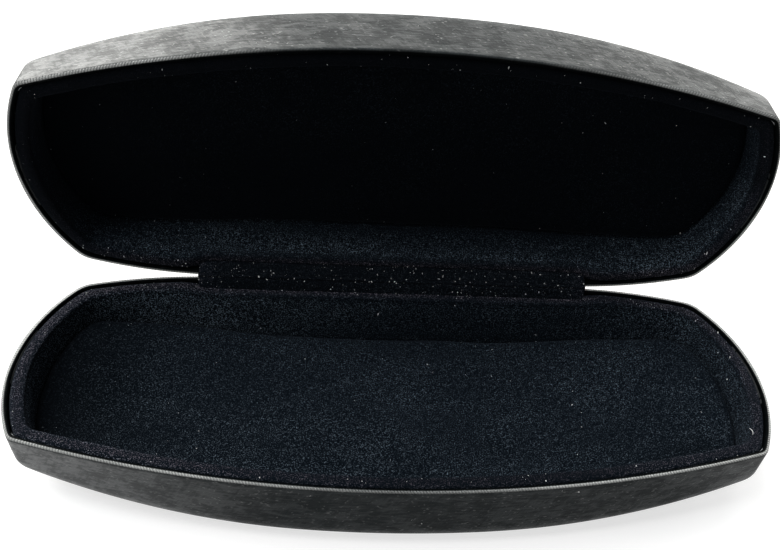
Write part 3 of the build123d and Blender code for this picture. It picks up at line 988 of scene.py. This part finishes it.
class CASE_OT_skins(bpy.types.Operator):
    """Build the leather skins of the base and the lid"""
    bl_idname = "glasses_case.skins"
    bl_label = "Leather skins"

    def execute(self, context):
        for body, lid in (("base", False), ("lid", True)):
            obj = skin(f"{body}_skin", lid)
            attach(obj, body)
            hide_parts(f"{body}_cover")
        return {"FINISHED"}


class CASE_OT_linings(bpy.types.Operator):
    """Build the flocked wall linings of the base and the lid"""
    bl_idname = "glasses_case.linings"
    bl_label = "Wall linings"

    def execute(self, context):
        for body, lid, seed, lit_left in (("base", False, 11, 4.6), ("lid", True, 23, 2.2)):
            obj = lining(f"{body}_lining", lid, seed, lit_left)
            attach(obj, body)
            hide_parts(f"{body}_wall_lining")
        return {"FINISHED"}


class CASE_OT_pads(bpy.types.Operator):
    """Build the padded floors of the base and the lid"""
    bl_idname = "glasses_case.pads"
    bl_label = "Floor pads"

    def execute(self, context):
        # Dips, as x, y, reach and depth, and the rise at the rear's left, middle and right
        dips = {"base": ((-66, -34, 9, 0.5), (58, -46, 12, 0.45), (-20, -12, 16, 0.25)),
                "lid": ((-58, -20, 10, 0.4), (50, -40, 14, 0.4))}
        rises = {"base": (3.3, 1.0, 2.3), "lid": (0.5, 0.5, 0.5)}
        # The lid's pad is painted in shade, far darker than the base's
        for body, lid, seed, nap in (("base", False, 31, 1.0), ("lid", True, 47, 0.14)):
            obj = pad(f"{body}_pad", lid, seed, dips[body], rises[body], nap)
            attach(obj, body)
            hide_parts(f"{body}_floor_pad")
        return {"FINISHED"}


class CASE_OT_hinge_cloths(bpy.types.Operator):
    """Build the flocked cloth inside the hinge and the leather spine outside it"""
    bl_idname = "glasses_case.hinge_cloths"
    bl_label = "Hinge cloths"

    def execute(self, context):
        # The cloth comes out of both linings, lies over the knuckles and has a soft fold between them
        lean = 20.0
        tail = [(-3.06, -3.7), (-2.97, -3.2), *line(TUCK, polar(CLOTH_OUT, 180 - lean), 9)]
        turns = np.linspace(180 - lean, 180 - math.degrees(OPEN) + lean, 21)
        away = (turns - turns.mean()) / 9.0
        rise = (CLOTH_OUT - CLOTH_OVER_KNUCKLES) * (np.abs(away) / abs(away[0])) ** 4
        radii = CLOTH_OVER_KNUCKLES + CLOTH_FOLD * np.exp(-away * away) + rise
        arc = [polar(radius, angle) for radius, angle in zip(radii, turns)]
        path = tail[:-1] + arc + [opened(p) for p in tail[::-1][1:]]
        # The cloth is painted in shade along its middle and lighter towards its ends
        cloth = strip("inner_hinge_cloth", path, CLOTH_THICKNESS, STRIP_HALF, wave=0.05, seed=71,
                      look="flocked_cloth", bulge=0.003, at_ends={"nap": 0.9, "warm": 0.9},
                      lint=3.0, nap=0.35, warm=0.2)
        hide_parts("inner_hinge_strip")
        hinge_point(TUCK)
        hinge_point(opened(TUCK))
        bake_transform(cloth)
        path_length(path) * MM

        # The spine laps over the rear walls
        lap = 12.0
        arc = [polar(SPINE_OUT, a) for a in np.linspace(-90 - lap, 90 - math.degrees(OPEN) + lap, 25)]
        spine = strip("outer_spine_leather", arc, CLOTH_THICKNESS, STRIP_HALF, wave=0.03, seed=83,
                      look="leather", bulge=0.008, edge=0.0)
        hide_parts("outer_spine")
        hinge_point(arc[0])
        hinge_point(arc[-1])
        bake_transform(spine)
        return {"FINISHED"}


def scaled(tree, vector, scale):
    """A vector socket made longer or shorter."""
    return add_node(tree, "ShaderNodeVectorMath", {0: vector, "Scale": scale}, operation="SCALE").outputs[0]


def lint_tree():
    """A node tree that scatters flecks of lint over a surface, by its attribute called lint."""
    tree = bpy.data.node_groups.new("scatter_lint", "GeometryNodeTree")
    for name, kind in (("Surface", "Geometry"), ("Density", "Float"), ("Size", "Float"), ("Seed", "Int"),
                       ("Material", "Material")):
        tree.interface.new_socket(name, in_out="INPUT", socket_type=f"NodeSocket{kind}")
    tree.interface.new_socket("Lint", in_out="OUTPUT", socket_type="NodeSocketGeometry")
    given = tree.nodes.new("NodeGroupInput").outputs

    def chance(low, high, seed, kind="FLOAT"):
        node = add_node(tree, "FunctionNodeRandomValue", data_type=kind)
        first, output = (0, 0) if kind == "FLOAT_VECTOR" else (2, 1)
        node.inputs[first].default_value, node.inputs[first + 1].default_value = low, high
        node.inputs["Seed"].default_value = seed
        return node.outputs[output]

    gathered = add_node(tree, "GeometryNodeInputNamedAttribute", {"Name": "lint"}, data_type="FLOAT")
    spots = add_node(tree, "GeometryNodeDistributePointsOnFaces", {
        "Mesh": given["Surface"], "Density": times(tree, gathered.outputs["Attribute"], given["Density"]),
        "Seed": given["Seed"]}, distribute_method="RANDOM")

    # Most flecks are small and round, and a few are large or long
    large = math_node(tree, "POWER", chance(0.0, 1.0, 1), 3.0)
    size = times(tree, given["Size"], ramp_linear(tree, large, 0.28, 1.0))
    long = math_node(tree, "POWER", chance(0.0, 1.0, 2), 7.0)
    shape = add_node(tree, "ShaderNodeCombineXYZ", {
        0: ramp_linear(tree, long, 0.9, 4.5), 1: chance(0.5, 0.9, 3), 2: chance(0.4, 0.8, 4)})
    full_turn = (6.28, 6.28, 6.28)
    ball = add_node(tree, "GeometryNodeMeshIcoSphere", {"Radius": 1.0, "Subdivisions": 2}).outputs["Mesh"]
    flecks = add_node(tree, "GeometryNodeInstanceOnPoints", {
        "Points": spots.outputs["Points"], "Instance": ball, "Scale": scaled(tree, shape.outputs[0], size),
        "Rotation": chance((0, 0, 0), full_turn, 5, "FLOAT_VECTOR")}).outputs["Instances"]
    real = add_node(tree, "GeometryNodeRealizeInstances", {"Geometry": flecks}).outputs["Geometry"]

    # Noise crumples the flecks
    noise = add_node(tree, "ShaderNodeTexNoise", {"Scale": 6000.0, "Detail": 1.0}).outputs["Color"]
    half = (0.5, 0.5, 0.5)
    either_way = add_node(tree, "ShaderNodeVectorMath", {0: noise, 1: half}, operation="SUBTRACT")
    push = scaled(tree, either_way.outputs[0], given["Size"])
    bent = add_node(tree, "GeometryNodeSetPosition", {"Geometry": real, "Offset": push}).outputs["Geometry"]
    done = add_node(tree, "GeometryNodeSetMaterial", {"Geometry": bent, "Material": given["Material"]})
    out = tree.nodes.new("NodeGroupOutput")
    tree.links.new(done.outputs["Geometry"], out.inputs["Lint"])
    return tree


def scatter(name, tree, pieces, seed):
    """The lint of these pieces as one plain mesh."""
    points, faces, gather = [], [], []
    for piece in pieces:
        first = len(points)
        points += [tuple(v.co) for v in piece.data.vertices]
        faces += [[first + i for i in p.vertices] for p in piece.data.polygons]
        gather += [d.value for d in piece.data.attributes["lint"].data]
    mesh = bpy.data.meshes.new(f"{name}_carrier")
    mesh.from_pydata(points, [], faces)
    mesh.attributes.new("lint", "FLOAT", "POINT").data.foreach_set("value", np.array(gather, np.float32))
    carrier = add_object(f"{name}_carrier", mesh)
    props = sizes()
    values = {"Density": props.lint_density, "Size": props.lint_size, "Seed": seed,
              "Material": material("lint")}
    modifier = carrier.modifiers.new("lint", "NODES")
    modifier.node_group = tree
    for item in tree.interface.items_tree:
        if item.name in values:
            modifier[item.identifier] = values[item.name]
    state = bpy.context.evaluated_depsgraph_get()
    result = bpy.data.meshes.new_from_object(carrier.evaluated_get(state))
    carrier.modifiers.remove(modifier)
    bpy.data.objects.remove(carrier)
    return add_object(name, result)


def fibre(name, path, radius):
    """A loose fibre along a path of points, as a thin closed tube."""
    form = Form()
    turns = np.linspace(0, 2 * math.pi, 8, endpoint=False)
    for i, centre in enumerate(path):
        ahead = path[min(i + 1, len(path) - 1)] - path[max(i - 1, 0)]
        side = np.cross(ahead, (0, 0, 1))
        side /= np.linalg.norm(side)
        up = np.cross(side, ahead / np.linalg.norm(ahead))
        form.add_row(centre + radius * (np.outer(np.cos(turns), side) + np.outer(np.sin(turns), up)))
    form.cap(len(turns))
    return form.finish(name, False, "lint")


class CASE_OT_spring(bpy.types.Operator):
    """Build the arched spring that is hooked over a rod on each side of the hinge"""
    bl_idname = "glasses_case.spring"
    bl_label = "Spring"

    def execute(self, context):
        lid_rod = opened(ROD)
        chord = math.dist(ROD, lid_rod) / 2
        middle = np.add(ROD, lid_rod) / 2
        inward = 180 - math.degrees(OPEN) / 2
        radius = (chord ** 2 - HOOK_RADIUS ** 2 + SPRING_BOW ** 2) / (2 * (SPRING_BOW - HOOK_RADIUS))
        centre = middle + polar(radius - SPRING_BOW, inward + 180)
        start = math.degrees(math.atan2(ROD[1] - centre[1], ROD[0] - centre[0])) % 360
        turn = 2 * (inward - start)

        def arc(about, size, first, last, count):
            return [np.add(about, polar(size, a)) for a in np.linspace(first, last, count)]

        # A hook over the base's rod, the bow, and a hook over the lid's rod
        path = arc(ROD, HOOK_RADIUS, start + HOOK_WRAP, start, 21)[:-1]
        path += arc(centre, radius, start, start + turn, 27)
        path += arc(lid_rod, HOOK_RADIUS, start + turn, start + turn - HOOK_WRAP, 21)[1:]
        spring = strip("spring_band", path, SPRING_THICKNESS, SPRING_HALF, wave=0.0, seed=5,
                       look="bright_steel", bulge=0.0)
        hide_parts("spring_strip")
        inset = np.subtract(lid_rod, ROD) / (2 * chord) * 0.8
        hinge_point(ROD + inset)
        hinge_point(lid_rod - inset)
        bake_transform(spring)
        return {"FINISHED"}


class CASE_OT_lint(bpy.types.Operator):
    """Scatter lint over the skins, linings, pads and hinge cloth, and lay down one loose fibre"""
    bl_idname = "glasses_case.lint"
    bl_label = "Lint"

    def execute(self, context):
        tree = lint_tree()
        objects = bpy.data.objects
        for body, seed in (("base", 3), ("lid", 8)):
            pieces = [objects[f"{body}_{kind}"] for kind in ("skin", "lining", "pad")]
            lint = scatter(f"{body}_lint", tree, pieces, seed)
            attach(lint, body)
        along = np.linspace(0, 1, 13)
        bow = FIBRE_BOW * np.sin(math.pi * along)
        x, y, z = FIBRE_START
        path = np.c_[x + FIBRE_RUN[0] * along + bow, y + FIBRE_RUN[1] * along, np.full(len(along), z)]
        hair = fibre("base_fibre", path, FIBRE_RADIUS)
        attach(hair, "base")
        lint = scatter("hinge_lint", tree, [objects["inner_hinge_cloth"]], 5)
        hinge_point(TUCK)
        hinge_point(opened(TUCK))
        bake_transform(lint)
        return {"FINISHED"}


class CASE_OT_steel(bpy.types.Operator):
    """Give the shells, leaves, pins, rods, rivets and spring their steel"""
    bl_idname = "glasses_case.steel"
    bl_label = "Steel parts"

    def execute(self, context):
        for name, obj in frame["nodes"].items():
            if name in ("base_shell", "lid_shell"):
                give(obj, "stamped_steel")
            elif any(word in name for word in ("leaf", "pin_", "rod", "rivets", "spring")):
                give(obj, "bright_steel")
        return {"FINISHED"}


def camera():
    """A camera that sees the case as the photograph does."""
    data = bpy.data.cameras.new("camera")
    data.sensor_width = 36.0
    data.lens = CAMERA_LENS
    data.shift_x, data.shift_y = CAMERA_SHIFT
    data.clip_start = 0.01
    data.clip_end = 20
    obj = add_object("camera", data)
    azimuth, elevation, roll = (math.radians(v) for v in CAMERA_TURN)
    forward = Vector((-math.sin(azimuth) * math.cos(elevation), math.cos(azimuth) * math.cos(elevation),
                      -math.sin(elevation)))
    right = Vector((math.cos(azimuth), math.sin(azimuth), 0))
    up = right.cross(forward)
    right, up = right * math.cos(roll) + up * math.sin(roll), up * math.cos(roll) - right * math.sin(roll)
    turn = Matrix((right, up, -forward)).transposed()
    obj.matrix_world = Matrix.Translation(Vector(HINGE) + Vector(CAMERA_PLACE) * MM) @ turn.to_4x4()
    bpy.context.scene.camera = obj


def seen_directly(tree):
    """1 where the camera sees a surface, also by a reflection or through glass, and 0 for other rays."""
    path = add_node(tree, "ShaderNodeLightPath").outputs
    straight = math_node(tree, "MAXIMUM", path["Is Camera Ray"], path["Is Glossy Ray"])
    return math_node(tree, "MAXIMUM", straight, path["Is Transmission Ray"])


def area_lamp(name, place_at, look_at, size, power, colour):
    """A rectangular lamp at a place, turned to a point."""
    data = bpy.data.lights.new(name, "AREA")
    data.shape = "RECTANGLE"
    data.size, data.size_y = size
    data.energy = power
    data.color = colour
    obj = add_object(name, data)
    obj.location = place_at
    obj.rotation_euler = (Vector(look_at) - Vector(place_at)).to_track_quat("-Z", "Y").to_euler()


def floor_material():
    """A matt white floor that glows to pure white for the camera, a little less near the case."""
    white, tree = new_material("white_floor")
    matt = add_node(tree, "ShaderNodeBsdfDiffuse", {"Color": FLOOR_COLOUR})
    where = add_node(tree, "ShaderNodeTexCoord").outputs["Object"]
    away = add_node(tree, "ShaderNodeVectorMath", {0: where}, operation="LENGTH").outputs["Value"]
    level = ramp(tree, away, 0.25, 1.4, *FLOOR_GLOW)
    glow = add_node(tree, "ShaderNodeEmission", {"Strength": times(tree, seen_directly(tree), level)})
    surface(tree, add_node(tree, "ShaderNodeAddShader", {0: matt.outputs[0], 1: glow.outputs[0]}))
    return white


class CASE_OT_stage(bpy.types.Operator):
    """Set the floor, the lamps, the world and the camera"""
    bl_idname = "glasses_case.stage"
    bl_label = "Stage"

    def execute(self, context):
        mesh = bpy.data.meshes.new("floor")
        corners = [(x * FLOOR_HALF, y * FLOOR_HALF, 0) for x, y in ((-1, -1), (1, -1), (1, 1), (-1, 1))]
        mesh.from_pydata(corners, [], [(0, 1, 2, 3)])
        mesh.materials.append(floor_material())
        floor = add_object("floor", mesh)
        world = bpy.data.worlds.new("studio")
        context.scene.world = world
        world.use_nodes = True
        tree = world.node_tree
        surround = tree.nodes["Background"].inputs
        surround["Color"].default_value = (1, 1, 1, 1)
        tree.links.new(mix_value(tree, seen_directly(tree), WORLD_LIGHT, 1.0), surround["Strength"])
        for lamp in LAMPS:
            area_lamp(*lamp)
        camera()
        context.scene.view_settings.view_transform = "Standard"
        return {"FINISHED"}


class CASE_PT_panel(bpy.types.Panel):
    """The case's operators and sizes in the sidebar"""
    bl_idname = "CASE_PT_panel"
    bl_label = "Glasses case"
    bl_space_type = "VIEW_3D"
    bl_region_type = "UI"
    bl_category = "Glasses case"

    def draw(self, context):
        for name in CaseSizes.__annotations__:
            self.layout.prop(context.scene.case_sizes, name)
        for operator in OPERATORS:
            self.layout.operator(operator.bl_idname)


OPERATORS = (CASE_OT_steel, CASE_OT_skins, CASE_OT_linings, CASE_OT_pads, CASE_OT_hinge_cloths,
             CASE_OT_spring, CASE_OT_lint, CASE_OT_stage)
CLASSES = (CaseSizes, *OPERATORS, CASE_PT_panel)


def register():
    for cls in CLASSES:
        bpy.utils.register_class(cls)
    bpy.types.Scene.case_sizes = bpy.props.PointerProperty(type=CaseSizes)


def unregister():
    del bpy.types.Scene.case_sizes
    for cls in reversed(CLASSES):
        bpy.utils.unregister_class(cls)


def main():
    """Builds everything in order."""
    register()
    for operator in OPERATORS:
        group, name = operator.bl_idname.split(".")
        getattr(getattr(bpy.ops, group), name)()


if __name__ == "__main__":
    main()
